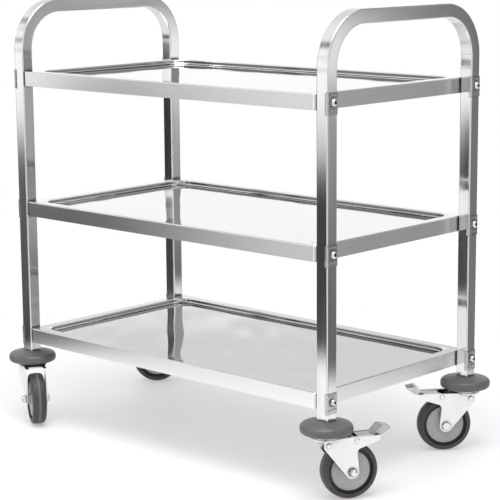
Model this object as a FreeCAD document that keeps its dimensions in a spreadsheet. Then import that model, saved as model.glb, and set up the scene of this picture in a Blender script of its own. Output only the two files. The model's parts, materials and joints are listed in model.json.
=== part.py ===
import FreeCAD, Part
import math
import os
import re
import Sketcher

# Three-tier service trolley: two bent square-tube end frames carry three pressed trays,
# and four swivel castors stand under the legs. Two of the castors have a foot brake.
# Axes: X runs from the left frame to the right frame, Y from front to back, Z up.
# The origin is on the floor, midway between the four legs. All sizes are millimetres.

SIZES = (
    # End frames
    ("frame_length", 790, "outer face to outer face of the two end frames, along X"),
    ("frame_width", 424, "outer face to outer face of one frame's legs, along Y"),
    ("tube_size", 25, "side of the square tube"),
    ("tube_wall", 1.2, "wall of the square tube"),
    ("tube_corner", 2.5, "outside corner radius of the square tube"),
    ("bend_radius", 82.5, "centre-line radius of the handle bends"),
    ("handle_height", 828, "top of the push handles above the floor"),
    ("leg_foot", 140, "lower end of the legs above the floor"),
    # Trays
    ("shelf_low", 187, "rim top of the bottom tray above the floor"),
    ("shelf_middle", 440, "rim top of the middle tray above the floor"),
    ("shelf_high", 693, "rim top of the top tray above the floor"),
    ("rim_height", 28, "depth of the tray's outer rim"),
    ("sheet_gauge", 1, "thickness of the tray sheet"),
    ("shelf_corner", 6, "radius of the tray's upright corners"),
    ("rim_edge", 2, "radius along the rim's upper edge"),
    ("border", 20, "flat border round the pressed panel"),
    ("recess_depth", 9, "depth of the pressed panel below the border"),
    ("recess_corner", 30, "corner radius of the pressed panel"),
    ("lip_radius", 3, "rounding where the border turns down"),
    ("floor_radius", 4, "rounding where the panel's wall meets its floor"),
    ("hem_width", 9, "width of the hem folded in under the rim"),
    ("corner_plate_arm", 30, "arm length of the welded corner plates"),
    ("corner_plate_gauge", 3, "thickness of the corner plates"),
    ("corner_plate_round", 5.2, "outside corner radius of the corner plates"),
    ("corner_plate_height", 22, "height of the corner plates"),
    # Tray fixings
    ("bolt_drop", 14, "tray bolts below the rim top"),
    ("bolt_radius", 3, "shank radius of the tray bolts"),
    ("bolt_hole", 3.3, "radius of the holes for the tray bolts"),
    ("bolt_reach", 38, "shank length of the tray bolts"),
    ("bolt_head_radius", 6.5, "radius of the domed bolt heads"),
    ("bolt_head_height", 5, "height of the domed bolt heads"),
    ("bolt_head_rim", 1.4, "straight edge below the bolt head's dome"),
    ("bolt_socket", 5, "width across flats of the bolt's socket"),
    ("bolt_socket_depth", 3, "depth of the bolt's socket"),
    ("nut_flats", 10, "width across flats of the tray nuts"),
    ("nut_height", 5, "height of the tray nuts"),
    ("thread_gap", 0.05, "radial gap between a nut and its bolt"),
    ("clip_above", 16, "reach of the leg clips above the bolt"),
    ("clip_below", 20, "reach of the leg clips below the bolt"),
    ("clip_gauge", 1.2, "thickness of the leg clips"),
    ("clip_flange", 5, "how far the clip wraps back along the leg"),
    ("clip_bend", 3.2, "outside bend radius of the clip"),
    ("clip_rib_width_half", 1.6, "half width of the clip's pressed ribs"),
    ("clip_rib_rise", 0.7, "height of the pressed ribs"),
    ("clip_rib_round", 1.1, "rounding of the pressed ribs"),
    ("clip_rib_offset", 12.5, "height of the ribs above and below the bolt"),
    ("clip_rib_half", 9.5, "half length of the pressed ribs"),
    ("clip_pad_radius", 9, "radius of the raised pad under the bolt head"),
    ("clip_pad_height", 0.8, "height of the raised pad"),
    # Leg ends and buffers
    ("socket_gap", 0.1, "clearance of the leg socket inside the tube"),
    ("socket_height", 22, "height of the socket in the leg's end"),
    ("bumper_base", 117, "underside of the round bumper above the floor"),
    ("bumper_radius", 46, "largest radius of the bumper"),
    ("bumper_edge_low", 120, "height of the corner below the bumper's widest line"),
    ("bumper_edge_high", 134, "height of the corner above the bumper's widest line"),
    ("bumper_base_radius", 38, "radius of the bumper's flat underside"),
    ("bumper_land", 19, "radius of the bumper's flat top"),
    ("bumper_round", 8, "rounding of the bumper's upper edge"),
    ("bumper_round_low", 6, "rounding of the bumper's lower edge"),
    # Swivel head
    ("kingpin_radius", 6, "radius of the kingpin"),
    ("kingpin_top", 160, "upper end of the kingpin"),
    ("kingpin_head_low", 105.8, "underside of the kingpin's head"),
    ("kingpin_head_high", 108.2, "upper face of the kingpin's head"),
    ("kingpin_head_radius", 11, "radius of the kingpin's head"),
    ("kingpin_head_round", 1, "rounding of the kingpin's head"),
    ("race_radius", 26, "outside radius of the upper race"),
    ("race_top", 116, "upper face of the upper race"),
    ("race_plate", 1.6, "thickness of the upper race"),
    ("race_skirt", 2.6, "thickness of the race's skirt"),
    ("race_round", 1.4, "rounding of the race's upper edge"),
    ("swivel_gap", 0.3, "gap between the race's skirt and the crown"),
    ("ball_radius", 1.5, "radius of the swivel balls"),
    ("ball_circle", 18, "pitch radius of the swivel balls"),
    ("ball_height", 112.8, "height of the swivel balls"),
    ("seal_inner", 18, "inner radius of the dust seal"),
    ("seal_outer", 24.5, "outer radius of the dust seal"),
    ("dust_ring_outer", 27.4, "outer radius of the plain castors' dust rings"),
    ("dust_ring_gap", 0.2, "gap between a dust ring and the bumper"),
    # Castor fork
    ("trail", 40, "distance of the axle behind the swivel axis"),
    ("wheel_radius", 50, "radius of the wheel over the tread"),
    ("crown_top", 111, "upper face of the fork's crown"),
    ("fork_gauge", 2.5, "thickness of the fork's sheet"),
    ("crown_radius", 27, "radius of the round part of the crown"),
    ("crown_rear", 31, "rear end of the crown plate"),
    ("fork_front", 13, "front end of the fork's side plates"),
    ("fork_front_half", 27, "half width over the side plates at their front end"),
    ("fork_rear_half", 20.5, "half width over the side plates behind the crease"),
    ("fork_crease", 25, "crease where the side plates turn outward"),
    ("fork_shoulder", 97, "height where the front edge starts to slant"),
    ("fork_boss", 12, "radius of the side plates round the axle"),
    ("fork_heel", 47, "rear edge of a plain fork at its crown"),
    ("fork_throat_x", 48, "corner between the leg and the brake arm"),
    ("fork_throat_z", 89, "height of that corner"),
    ("fork_throat_radius", 9, "rounding of that corner"),
    ("arm_end", 90, "rear end of the brake arms"),
    ("arm_end_low", 101.5, "lower corner of the brake arms' end"),
    ("arm_bevel", 2, "bevel on the lower corner of the brake arms' end"),
    ("arm_gap_half", 14.5, "half width of the opening between the arms' lips"),
    ("kingpin_gap", 0.08, "radial clearance of the crown on the kingpin"),
    ("plate_hole_gap", 0.1, "radial clearance of the axle in the side plates"),
    ("cut_margin", 10, "reach of a cut past the sheet that it trims"),
    # Wheel
    ("tyre_half", 14, "half width of the tyre"),
    ("tyre_shoulder", 49.2, "radius of the tyre's shoulders"),
    ("tyre_round", 5, "rounding of the tyre's shoulders"),
    ("tread_band_half", 3, "half width of the moulded centre band"),
    ("tyre_inner", 35, "radius of the joint between tyre and wheel core"),
    ("groove_outer", 39.5, "outer radius of the groove beside the joint"),
    ("groove_half", 9, "half width of the tyre inside the groove"),
    ("groove_lean", 1, "how far the groove's outer side leans out"),
    ("groove_round", 1.2, "rounding of the groove's outer edge"),
    ("core_half", 11.5, "half width of the wheel core's discs"),
    ("core_edge", 1.5, "rounding of the disc's edge"),
    ("hub_half", 17.4, "half length of the wheel's hub"),
    ("hub_radius", 10, "radius of the wheel's hub"),
    ("hub_round", 1, "rounding of the hub's ends"),
    ("hub_taper", 1, "how much the hub's radius grows towards the discs"),
    ("hub_fillet", 2, "rounding between the hub and the discs"),
    ("bush_radius", 6, "radius of the steel bush"),
    ("bush_gap", 0.08, "radial running clearance of the wheel on the bush"),
    ("axle_radius", 4, "radius of the axle bolt"),
    ("axle_gap", 0.1, "radial gap between the axle bolt and its bush"),
    ("axle_flats", 13, "width across flats of the axle bolt and nut"),
    ("axle_head", 5.3, "height of the axle bolt's head"),
    ("axle_nut", 6.5, "height of the axle nut's hexagon"),
    ("axle_dome", 4.5, "height of the axle nut's dome"),
    ("axle_dome_radius", 5.8, "radius of the axle nut's dome"),
    ("axle_dome_round", 3.9, "rounding of the axle nut's dome"),
    ("axle_bore_spare", 0.5, "how far the nut's bore runs past the bolt's end"),
    # Brake
    ("pivot_x", 48, "brake pivot behind the swivel axis"),
    ("pivot_z", 104.5, "brake pivot above the floor"),
    ("pivot_radius", 2.5, "radius of the brake's rivets"),
    ("pivot_gap", 0.08, "radial running clearance of the pedal on its rivet"),
    ("rivet_head", 4.2, "radius of the rivet heads"),
    ("rivet_head_height", 1.6, "height of the rivet heads"),
    ("rivet_head_round", 1.3, "rounding of the rivet heads"),
    ("front_rivet_x", 5, "front rivet ahead of the swivel axis"),
    ("front_rivet_z", 101.8, "front rivet above the floor"),
    ("pedal_half", 13.5, "half width of the brake pedal"),
    ("pedal_gauge", 2.2, "thickness of the pedal's sheet"),
    ("pedal_front", 53, "front end of the pedal's tread plate"),
    ("pedal_plate_low", 108.3, "underside of the pedal's tread plate"),
    ("pedal_curl_x", 80.5, "where the pedal's upper face turns up"),
    ("pedal_curl_under_x", 81.5, "where its underside turns up"),
    ("pedal_curl_round", 4, "rounding of that turn on the upper face"),
    ("pedal_crest_x", 94, "corner of the crest on the upper face"),
    ("pedal_crest_z", 125.9, "height of that corner"),
    ("pedal_crest_under_x", 94.8, "corner of the crest on the underside"),
    ("pedal_crest_under_z", 123.5, "height of that corner"),
    ("pedal_crest_round", 6.8, "rounding of the crest on the underside"),
    ("pedal_tip_x", 112, "tip of the pedal"),
    ("pedal_tip_z", 122, "height of the tip"),
    ("pedal_tip_under_x", 111.5, "lower edge of the tip"),
    ("pedal_tip_under_z", 119.8, "height of that edge"),
    ("pedal_keel_x", 97, "lowest corner of the side flanges under the crest"),
    ("pedal_keel_z", 109.6, "height of that corner"),
    ("pedal_keel_round", 12, "rounding of that corner"),
    ("pedal_ear", 4.2, "radius of the pedal's ears round the pivot"),
    ("pedal_ear_rear", 80, "rear end of the pedal's ears"),
    ("pedal_ear_low", 105.6, "lower edge of the ears at their rear end"),
    ("pedal_ear_slope", 2, "how far the ears' rear edge leans back"),
    ("shoe_front", 60, "front face of the brake shoe below the pedal"),
    ("shoe_gauge", 2.5, "thickness of the brake shoe"),
    ("shoe_low", 99.5, "lower end of the brake shoe"),
    ("shoe_half", 9, "half width of the brake shoe"),
    ("leaf_front", 9, "front end of the leaf spring ahead of the swivel axis"),
    ("leaf_rear", 39, "rear end of the leaf spring"),
    ("leaf_half", 9, "half width of the leaf spring"),
    ("leaf_gauge", 1, "thickness of the leaf spring"),
    # Direction in which each castor trails, in degrees from +X towards +Y
    ("right_front_turn", 60, "right front castor"),
    ("right_back_turn", -130, "right back castor"),
    ("left_front_turn", -32, "left front castor"),
    ("left_back_turn", -130, "left back castor"),
)

BALL_COUNT = 14
CASTORS = (
    # name, side along X, side along Y, with brake
    ("right_front", 1, -1, True),
    ("right_back", 1, 1, True),
    ("left_front", -1, -1, False),
    ("left_back", -1, 1, False),
)
SHELVES = (("top", "shelf_high"), ("middle", "shelf_middle"), ("bottom", "shelf_low"))
SIDES = (("left", -1), ("right", 1))
LEG_X = "(frame_length - tube_size) / 2"
LEG_Y = "(frame_width - tube_size) / 2"
SHELF_X = "(frame_length - 2 * tube_size) / 2"
SHELF_Y = "frame_width / 2"

doc = FreeCAD.newDocument("ServiceTrolley")
sheet = doc.addObject("Spreadsheet::Sheet", "Sizes")
parts = {}


# Sizes and expressions

def fill_sheet():
    """Put each driving size in column B under its alias, with its meaning beside it."""
    for row, (alias, size, meaning) in enumerate(SIZES, start=1):
        sheet.set(f"A{row}", alias)
        sheet.set(f"B{row}", str(size))
        sheet.set(f"C{row}", meaning)
        sheet.setAlias(f"B{row}", alias)
    doc.recompute()


ALIAS = re.compile(r"\b(" + "|".join(alias for alias, _, _ in SIZES) + r")\b")


def expression(text):
    """A formula in plain aliases, written out with the sheet's name."""
    return ALIAS.sub(r"Sizes.\1", text)


def number(text):
    """The present value of a formula."""
    return float(sheet.evalExpression(expression(text)))


def bind(item, path, text):
    item.setExpression(path, expression(text))


# Sketches

class Corner:
    """One corner of an outline: sharp, rounded by a radius, or an arc about its centre."""

    def __init__(self, x, y, radius=None, centred=False):
        self.x = str(x)
        self.y = str(y)
        self.radius = radius
        self.centred = centred
        self.point = FreeCAD.Vector(number(self.x), number(self.y), 0)
        self.size = number(str(radius)) if radius is not None else 0.0


def heading(angle):
    return FreeCAD.Vector(math.cos(angle), math.sin(angle), 0)


def straight(start, end):
    """Direction and end points of the edge that leaves one corner and reaches the next."""
    a, b = start.point, end.point
    across = b - a
    angle = math.atan2(across.y, across.x)
    if end.centred:
        along = heading(angle - math.asin(end.size / across.Length))
        return along, a, a + along * math.sqrt(across.Length ** 2 - end.size ** 2)
    if start.centred:
        along = heading(angle + math.asin(start.size / across.Length))
        return along, b - along * math.sqrt(across.Length ** 2 - start.size ** 2), b
    return heading(angle), a, b


def arc_at(corner, before, after, enter, leave):
    """Where a corner's arc starts and ends, its centre, and whether it turns left."""
    if corner.centred:
        return enter, leave, corner.point, True
    turn = before.x * after.y - before.y * after.x
    half = math.acos(max(-1.0, min(1.0, before.dot(after)))) / 2
    setback = corner.size * math.tan(half)
    first = corner.point - before * setback
    last = corner.point + after * setback
    side = 1 if turn > 0 else -1
    normal = FreeCAD.Vector(-before.y, before.x, 0) * side
    return first, last, first + normal * corner.size, turn > 0


def pin(sketch, geometry, place, x, y):
    """Hold one point of a sketch at two formulas."""
    for kind, text, axis in (("DistanceX", x, -2), ("DistanceY", y, -1)):
        size = number(text)
        if abs(size) < 1e-9:
            sketch.addConstraint(Sketcher.Constraint("PointOnObject", geometry, place, axis))
            continue
        ends = (-1, 1, geometry, place) if size > 0 else (geometry, place, -1, 1)
        index = sketch.addConstraint(Sketcher.Constraint(kind, *ends, abs(size)))
        bind(sketch, f"Constraints[{index}]", text if size > 0 else f"-({text})")


def fix_radius(sketch, geometry, text):
    index = sketch.addConstraint(Sketcher.Constraint("Radius", geometry, number(text)))
    bind(sketch, f"Constraints[{index}]", text)


def add_outline(sketch, corners, closed=True):
    """Draw straight edges and arcs through the corners and constrain them fully."""
    count = len(corners)
    edges = count if closed else count - 1
    runs = [straight(corners[i], corners[(i + 1) % count]) for i in range(edges)]
    starts = [run[1] for run in runs]
    ends = [run[2] for run in runs]
    arcs = {}
    for i, corner in enumerate(corners):
        if corner.size:
            before, after = runs[i - 1], runs[i]
            first, last, centre, left = arc_at(corner, before[0], after[0], before[2], after[1])
            ends[i - 1], starts[i] = first, last
            low, high = (first, last) if left else (last, first)
            angles = [math.atan2(p.y - centre.y, p.x - centre.x) for p in (low, high)]
            if angles[1] < angles[0]:
                angles[1] += 2 * math.pi
            circle = Part.Circle(centre, FreeCAD.Vector(0, 0, 1), corner.size)
            arcs[i] = (Part.ArcOfCircle(circle, *angles), left)
    lines = [sketch.addGeometry(Part.LineSegment(starts[i], ends[i])) for i in range(edges)]
    for i, corner in enumerate(corners):
        if not closed and i in (0, count - 1):
            line, place = (lines[0], 1) if i == 0 else (lines[-1], 2)
            pin(sketch, line, place, corner.x, corner.y)
        elif corner.size:
            curve, left = arcs[i]
            arc = sketch.addGeometry(curve)
            near, far = (1, 2) if left else (2, 1)
            sketch.addConstraint(Sketcher.Constraint("Tangent", lines[i - 1], 2, arc, near))
            sketch.addConstraint(Sketcher.Constraint("Tangent", lines[i], 1, arc, far))
            fix_radius(sketch, arc, str(corner.radius))
            hold_arc(sketch, corner, arc, lines[i - 1], lines[i])
        else:
            sketch.addConstraint(Sketcher.Constraint("Coincident", lines[i - 1], 2, lines[i], 1))
            pin(sketch, lines[i], 1, corner.x, corner.y)


def hold_arc(sketch, corner, arc, before, after):
    """Pin an arc by its centre, or by the sharp corner that it rounds."""
    if corner.centred:
        pin(sketch, arc, 3, corner.x, corner.y)
        return
    tip = sketch.addGeometry(Part.Point(corner.point), True)
    sketch.addConstraint(Sketcher.Constraint("PointOnObject", tip, 1, before))
    sketch.addConstraint(Sketcher.Constraint("PointOnObject", tip, 1, after))
    pin(sketch, tip, 1, corner.x, corner.y)


def add_circle(sketch, x, y, radius):
    centre = FreeCAD.Vector(number(x), number(y), 0)
    circle = Part.Circle(centre, FreeCAD.Vector(0, 0, 1), number(radius))
    index = sketch.addGeometry(circle)
    pin(sketch, index, 3, x, y)
    fix_radius(sketch, index, radius)


def new_sketch(body, name, plane, outlines=(), circles=(), lift=None, closed=True):
    """A sketch on one of the body's own origin planes, moved along its normal by lift."""
    sketch = body.newObject("Sketcher::SketchObject", name)
    origin_plane = next(f for f in body.Origin.OriginFeatures if f.Role == plane + "_Plane")
    sketch.AttachmentSupport = [(origin_plane, "")]
    sketch.MapMode = "FlatFace"
    if lift is not None:
        bind(sketch, ".AttachmentOffset.Base.z", lift)
    for corners in outlines:
        add_outline(sketch, [Corner(*corner) for corner in corners], closed)
    for circle in circles:
        add_circle(sketch, *circle)
    sketch.Visibility = False
    return sketch


def rectangle(low_x, low_y, high_x, high_y, radius=None):
    corners = ((low_x, low_y), (high_x, low_y), (high_x, high_y), (low_x, high_y))
    return [(x, y, radius) for x, y in corners]


def hexagon(flats):
    """A hexagon about the sketch's origin with two corners on its X axis."""
    tip = f"{flats} / sqrt(3)"
    half = f"{flats} / (2 * sqrt(3))"
    side = f"{flats} / 2"
    return [(tip, "0"), (half, side), (f"-{half}", side),
            (f"-{tip}", "0"), (f"-{half}", f"-{side}"), (half, f"-{side}")]


# Features

def new_body(name):
    body = doc.addObject("PartDesign::Body", name)
    body.Label = name
    return body


def pad(body, sketch, length, symmetric=False, backward=False):
    feature = body.newObject("PartDesign::Pad", sketch.Name + "_pad")
    feature.Profile = sketch
    feature.SideType = "Symmetric" if symmetric else "One side"
    feature.Reversed = backward
    bind(feature, "Length", length)
    return finish(feature, grows=True)


def pocket(body, sketch, depth=None, symmetric=False, backward=False):
    """Cut a sketch's outline to a depth, or right through when no depth is given."""
    feature = body.newObject("PartDesign::Pocket", sketch.Name + "_cut")
    feature.Profile = sketch
    feature.SideType = "Symmetric" if symmetric else "One side"
    feature.Reversed = backward
    if depth is None:
        feature.Type = "ThroughAll"
    else:
        bind(feature, "Length", depth)
    return finish(feature, grows=False)


def revolve(body, sketch, axis, cut=False):
    kind = "Groove" if cut else "Revolution"
    feature = body.newObject("PartDesign::" + kind, sketch.Name + "_turn")
    feature.Profile = sketch
    feature.ReferenceAxis = (sketch, [axis])
    feature.Angle = 360
    return finish(feature, grows=not cut)


def fillet(body, radius, chosen):
    """Round the edges of the body's tip that the test accepts."""
    base = body.Tip
    names = [f"Edge{i}" for i, edge in enumerate(base.Shape.Edges, start=1) if chosen(edge)]
    if not names:
        raise RuntimeError(f"{body.Name}: no edge to round")
    feature = body.newObject("PartDesign::Fillet", body.Name + "_round")
    feature.Base = (base, names)
    bind(feature, "Radius", radius)
    doc.recompute()
    return feature


def finish(feature, grows):
    """Recompute a feature and check that it added or removed material as it should."""
    doc.recompute()
    if not feature.Shape or feature.Shape.isNull():
        raise RuntimeError(f"{feature.Name} made no shape")
    base = feature.BaseFeature
    before = base.Shape.Volume if base else 0.0
    change = feature.Shape.Volume - before
    if (change <= 0) if grows else (change >= 0):
        raise RuntimeError(f"{feature.Name} changed the volume by {change:.3f}")
    return feature


def place(name, source, x="0", y="0", z="0", turn="0"):
    """A copy of one piece, moved by formulas and turned about Z."""
    copy = doc.addObject("Part::Compound", name)
    copy.Links = [source]
    copy.Label = name
    for axis, text in (("x", x), ("y", y), ("z", z)):
        bind(copy, f".Placement.Base.{axis}", text)
    bind(copy, ".Placement.Rotation.Angle", turn)
    return copy


def keep(name, item):
    """Record a finished sub-part under the name of its file."""
    item.Label = name
    parts[name] = item
    return item


def group(name, items):
    """Identical pieces that share one sub-part."""
    together = doc.addObject("Part::Compound", name)
    together.Links = items
    return keep(name, together)


# End frames

def end_frame(name, side):
    """One square tube bent into an inverted U: two legs joined by a rounded push handle."""
    body = new_body(name)
    centre_top = "handle_height - tube_size / 2"
    path = new_sketch(body, name + "_path", "YZ", closed=False, outlines=[[
        (f"-{LEG_Y}", "leg_foot"),
        (f"-{LEG_Y}", centre_top, "bend_radius"),
        (LEG_Y, centre_top, "bend_radius"),
        (LEG_Y, "leg_foot"),
    ]])
    inside = "tube_size / 2 - tube_wall"
    section = new_sketch(body, name + "_section", "XY", lift="leg_foot", outlines=[
        rectangle("-tube_size / 2", "-frame_width / 2",
                  "tube_size / 2", "tube_size - frame_width / 2", "tube_corner"),
        rectangle(f"-({inside})", "tube_wall - frame_width / 2",
                  inside, "tube_size - tube_wall - frame_width / 2", "tube_corner - tube_wall"),
    ])
    doc.recompute()
    pipe = body.newObject("PartDesign::AdditivePipe", name + "_tube")
    pipe.Profile = section
    pipe.Spine = path
    finish(pipe, grows=True)
    holes = [(f"{y_sign}{LEG_Y}", f"{level} - bolt_drop", "bolt_hole")
             for y_sign in ("", "-") for _, level in SHELVES]
    pocket(body, new_sketch(body, name + "_holes", "YZ", circles=holes), symmetric=True)
    bind(body, ".Placement.Base.x", f"{side} * {LEG_X}")
    keep(name, body)


# Trays

def level_edge(edge, height):
    """Whether an edge lies level at a height."""
    box = edge.BoundBox
    return abs(box.ZMin - height) < 1e-4 and abs(box.ZMax - height) < 1e-4


def is_outer(edge):
    """Whether an edge lies on the tray's outer outline rather than round its panel."""
    box = edge.BoundBox
    near = number("border") / 2
    reach_x = max(abs(box.XMin), abs(box.XMax))
    reach_y = max(abs(box.YMin), abs(box.YMax))
    return reach_x > number(SHELF_X) - near or reach_y > number(SHELF_Y) - near


def tray_rectangle(inset, radius):
    """The tray's outline moved in by a distance on every side."""
    return rectangle(f"{inset} - {SHELF_X}", f"{inset} - {SHELF_Y}",
                     f"{SHELF_X} - ({inset})", f"{SHELF_Y} - ({inset})", radius)


def tray():
    """A pressed sheet tray, its rim top at Z = 0: flat border, sunk panel, folded rim."""
    body = new_body("tray")
    inside = new_sketch(body, "tray_inside", "XY", lift="-sheet_gauge",
                        outlines=[tray_rectangle("sheet_gauge", "shelf_corner - sheet_gauge")])
    pad(body, inside, "rim_height - sheet_gauge", backward=True)
    recess = new_sketch(body, "tray_recess", "XY", lift="-sheet_gauge", outlines=[
        tray_rectangle("border - sheet_gauge", "recess_corner + sheet_gauge")])
    pocket(body, recess, "recess_depth")
    top = -number("sheet_gauge")
    floor = top - number("recess_depth")
    fillet(body, "floor_radius + sheet_gauge", lambda edge: level_edge(edge, floor))
    fillet(body, "lip_radius - sheet_gauge",
           lambda edge: level_edge(edge, top) and not is_outer(edge))
    fillet(body, "rim_edge - sheet_gauge", lambda edge: level_edge(edge, top) and is_outer(edge))
    cover_with_sheet(body)
    hem = new_sketch(body, "tray_hem", "XY", lift="-rim_height", outlines=[
        tray_rectangle("0", "shelf_corner"), tray_rectangle("hem_width", "shelf_corner")])
    pad(body, hem, "sheet_gauge")
    holes = [(y, "-bolt_drop", "bolt_hole") for y in (LEG_Y, f"-{LEG_Y}")]
    pocket(body, new_sketch(body, "tray_holes", "YZ", circles=holes), symmetric=True)
    return body


def cover_with_sheet(body):
    """Turn the tray's inner form into sheet laid over it, open underneath."""
    form = body.Tip
    low = -number("rim_height")
    under = [f"Face{i}" for i, face in enumerate(form.Shape.Faces, start=1)
             if abs(face.BoundBox.ZMax - low) < 1e-4]
    skin = body.newObject("PartDesign::Thickness", "tray_skin")
    skin.Base = (form, under)
    skin.Reversed = False
    bind(skin, "Value", "sheet_gauge")
    doc.recompute()
    if skin.Shape.Volume > form.Shape.Volume / 4:
        raise RuntimeError("the tray is not hollow")


def corner_plate():
    """An angle plate welded inside one tray corner, with the hole for the tray's bolt."""
    body = new_body("corner_plate")
    x, y = f"{SHELF_X} - sheet_gauge", f"{SHELF_Y} - sheet_gauge"
    profile = new_sketch(body, "corner_plate_plan", "XY", lift="sheet_gauge - rim_height", outlines=[[
        (f"{x} - corner_plate_arm", f"{y} - corner_plate_gauge"),
        (f"{x} - corner_plate_gauge", f"{y} - corner_plate_gauge"),
        (f"{x} - corner_plate_gauge", f"{y} - corner_plate_arm"),
        (x, f"{y} - corner_plate_arm"),
        (x, y, "corner_plate_round"),
        (f"{x} - corner_plate_arm", y),
    ]])
    pad(body, profile, "corner_plate_height")
    hole = new_sketch(body, "corner_plate_hole", "YZ", circles=[(LEG_Y, "-bolt_drop", "bolt_hole")])
    pocket(body, hole, symmetric=True)
    return body


def shelves():
    """Three trays, and under each one its four welded corner plates."""
    sheet_tray = tray()
    plate = corner_plate()
    mirror_x = doc.addObject("Part::Mirroring", "corner_plate_left")
    mirror_x.Source = plate
    mirror_x.Normal = FreeCAD.Vector(1, 0, 0)
    for level_name, level in SHELVES:
        keep(level_name + "_shelf", place(level_name + "_shelf", sheet_tray, z=level))
        name = level_name + "_shelf_corner_plates"
        corners = [place(f"{name}_{i}", source, z=level, turn=turn) for i, (source, turn) in
                   enumerate(((plate, "0"), (plate, "180"), (mirror_x, "0"), (mirror_x, "180")))]
        group(name, corners)


# Tray fixings

def leg_clip():
    """A pressed channel round the leg's outer face; the leg's face is the plane X = 0."""
    body = new_body("leg_clip")
    out, inner = "tube_size / 2 + clip_gauge", "tube_size / 2"
    plan = new_sketch(body, "leg_clip_plan", "XY", lift="-clip_below", outlines=[[
        ("-clip_flange", f"-({out})"), ("clip_gauge", f"-({out})", "clip_bend"),
        ("clip_gauge", out, "clip_bend"), ("-clip_flange", out),
        ("-clip_flange", inner), ("0", inner, "clip_bend - clip_gauge"),
        ("0", f"-({inner})", "clip_bend - clip_gauge"), ("-clip_flange", f"-({inner})"),
    ]])
    pad(body, plan, "clip_above + clip_below")
    crest = "clip_gauge + clip_rib_rise"
    ribs = []
    for sign in ("", "-"):
        low, high = (f"{sign}clip_rib_offset {way} clip_rib_width_half" for way in "-+")
        ribs.append([("0", low), (crest, low, "clip_rib_round"),
                     (crest, high, "clip_rib_round"), ("0", high)])
    pad(body, new_sketch(body, "leg_clip_ribs", "XZ", ribs), "2 * clip_rib_half", symmetric=True)
    disc = new_sketch(body, "leg_clip_pad", "YZ", circles=[("0", "0", "clip_pad_radius")])
    pad(body, disc, "clip_gauge + clip_pad_height")
    hole = new_sketch(body, "leg_clip_hole", "YZ", circles=[("0", "0", "bolt_hole")])
    pocket(body, hole, symmetric=True)
    return body


def tray_bolt():
    """A domed bolt along X with a hexagon socket; its head rests on the clip's raised pad."""
    body = new_body("tray_bolt")
    seat = "clip_gauge + clip_pad_height"
    turned = new_sketch(body, "tray_bolt_profile", "XY", outlines=[[
        (f"{seat} - bolt_reach", "0"), (f"{seat} + bolt_head_height", "0"),
        (f"{seat} + bolt_head_height", "bolt_head_radius", "bolt_head_height - bolt_head_rim"),
        (seat, "bolt_head_radius"), (seat, "bolt_radius"), (f"{seat} - bolt_reach", "bolt_radius"),
    ]])
    revolve(body, turned, "H_Axis")
    key = new_sketch(body, "tray_bolt_socket", "YZ", [hexagon("bolt_socket")],
                     lift=f"{seat} + bolt_head_height")
    pocket(body, key, "bolt_socket_depth")
    return body


def tray_nut():
    """A hexagon nut behind the corner plate, measured from the same leg face as the clip."""
    body = new_body("tray_nut")
    face = "-(tube_size + sheet_gauge + corner_plate_gauge)"
    blank = new_sketch(body, "tray_nut_plan", "YZ", [hexagon("nut_flats")], lift=face,
                       circles=[("0", "0", "bolt_radius + thread_gap")])
    pad(body, blank, "nut_height", backward=True)
    return body


def tray_fixings():
    """Clip, bolt and nut at each of the twelve places where a tray meets a leg."""
    clip, bolt, nut = leg_clip(), tray_bolt(), tray_nut()
    nuts = []
    for side_name, side in SIDES:
        clips, bolts = [], []
        for level_name, level in SHELVES:
            for y_sign, end in ((-1, "front"), (1, "back")):
                where = {"x": f"{side} * frame_length / 2", "y": f"{y_sign} * {LEG_Y}",
                         "z": f"{level} - bolt_drop", "turn": "0" if side > 0 else "180"}
                spot = f"{side_name}_{level_name}_{end}"
                clips.append(place("clip_" + spot, clip, **where))
                bolts.append(place("bolt_" + spot, bolt, **where))
                nuts.append(place("nut_" + spot, nut, **where))
        group(side_name + "_leg_clips", clips)
        group(side_name + "_shelf_bolts", bolts)
    group("shelf_nuts", nuts)


# Castor: fixed pieces
# Each castor is drawn with its swivel axis on Z and its wheel trailing along +X.

def leg_socket():
    """A square plug in the leg's open end that holds the kingpin."""
    body = new_body("leg_socket")
    half = "tube_size / 2 - tube_wall - socket_gap"
    plan = new_sketch(body, "leg_socket_plan", "XY", lift="leg_foot",
                      outlines=[rectangle(f"-({half})", f"-({half})", half, half, "tube_corner")],
                      circles=[("0", "0", "kingpin_radius")])
    pad(body, plan, "socket_height")
    return body


def bumper():
    """A round domed buffer clamped between the leg's end and the swivel head."""
    body = new_body("bumper")
    profile = new_sketch(body, "bumper_profile", "XZ", outlines=[[
        ("kingpin_radius", "bumper_base"),
        ("bumper_base_radius", "bumper_base", "bumper_round_low / 2"),
        ("bumper_radius", "bumper_edge_low", "bumper_round_low"),
        ("bumper_radius", "bumper_edge_high", "bumper_round"),
        ("bumper_land", "leg_foot", "bumper_round"),
        ("kingpin_radius", "leg_foot"),
    ]])
    revolve(body, profile, "V_Axis")
    return body


def kingpin():
    """The fixed swivel pin: head below the crown, upper race above it, stem into the leg."""
    body = new_body("kingpin")
    skirt = "crown_top + swivel_gap"
    profile = new_sketch(body, "kingpin_profile", "XZ", outlines=[[
        ("0", "kingpin_head_low"),
        ("kingpin_head_radius", "kingpin_head_low", "kingpin_head_round"),
        ("kingpin_head_radius", "kingpin_head_high"), ("kingpin_radius", "kingpin_head_high"),
        ("kingpin_radius", "race_top - race_plate"),
        ("race_radius - race_skirt", "race_top - race_plate"), ("race_radius - race_skirt", skirt),
        ("race_radius", skirt), ("race_radius", "race_top", "race_round"),
        ("kingpin_radius", "race_top"),
        ("kingpin_radius", "kingpin_top"), ("0", "kingpin_top"),
    ]])
    revolve(body, profile, "V_Axis")
    return body


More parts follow.
